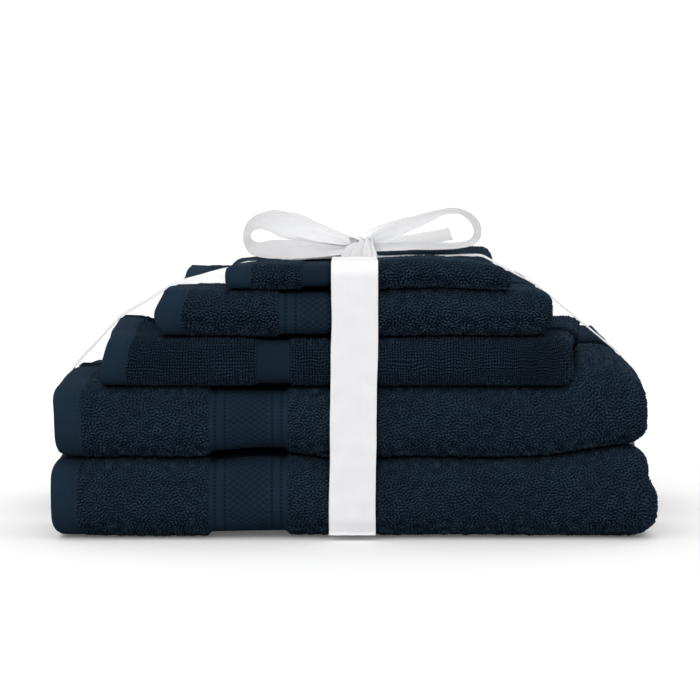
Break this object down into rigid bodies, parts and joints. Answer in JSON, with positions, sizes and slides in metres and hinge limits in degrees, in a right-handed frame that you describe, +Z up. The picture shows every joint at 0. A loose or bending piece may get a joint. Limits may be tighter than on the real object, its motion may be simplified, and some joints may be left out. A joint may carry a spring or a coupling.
{
  "type": "bath towel set",
  "caption": "Stack of folded navy terry bath towels, a bath mat, a hand towel and a face washer, tied crosswise with a white satin ribbon and bow.",
  "frame": {"origin": "middle of the footprint, on the surface that the set rests on", "axes": "+X to the right along the length of the folded towels, -Y to the front where the round folds are, +Z up"},
  "size_m": [0.353, 0.2414, 0.1908],
  "materials": {
    "terry_towel": "looped cotton terry, dyed dark navy, with flat-woven hems and borders",
    "terry_mat": "short dense cotton loops in straight rows, dyed dark navy",
    "satin_ribbon": "white polyester satin, soft sheen"
  },
  "bodies": {
    "bath_towel_lower": {"bath_towel_lower": "terry_towel", "ribbon_underside": "satin_ribbon"},
    "bath_towel_upper": {"bath_towel_upper": "terry_towel"},
    "bath_mat": {"bath_mat": "terry_mat"},
    "hand_towel": {"hand_towel": "terry_towel"},
    "face_washer": {"face_washer": "terry_towel"},
    "ribbon": {"ribbon_front_arm": "satin_ribbon", "ribbon_back_arm": "satin_ribbon", "ribbon_left_arm": "satin_ribbon", "ribbon_right_arm": "satin_ribbon", "bow_knot": "satin_ribbon", "bow_loop_left": "satin_ribbon", "bow_loop_right": "satin_ribbon", "bow_tail_left": "satin_ribbon", "bow_tail_right": "satin_ribbon"}
  },
  "joints": [
    {"name": "bath_towel_upper_lift", "type": "slide", "parent": "bath_towel_lower", "child": "bath_towel_upper", "axis": [0, 0, 1], "range_m": [0, 0.08]},
    {"name": "bath_mat_lift", "type": "slide", "parent": "bath_towel_upper", "child": "bath_mat", "axis": [0, 0, 1], "range_m": [0, 0.08]},
    {"name": "hand_towel_lift", "type": "slide", "parent": "bath_mat", "child": "hand_towel", "axis": [0, 0, 1], "range_m": [0, 0.08]},
    {"name": "face_washer_lift", "type": "slide", "parent": "hand_towel", "child": "face_washer", "axis": [0, 0, 1], "range_m": [0, 0.08]},
    {"name": "ribbon_lift", "type": "slide", "parent": "face_washer", "child": "ribbon", "axis": [0, 0, 1], "range_m": [0, 0.16]}
  ]
}
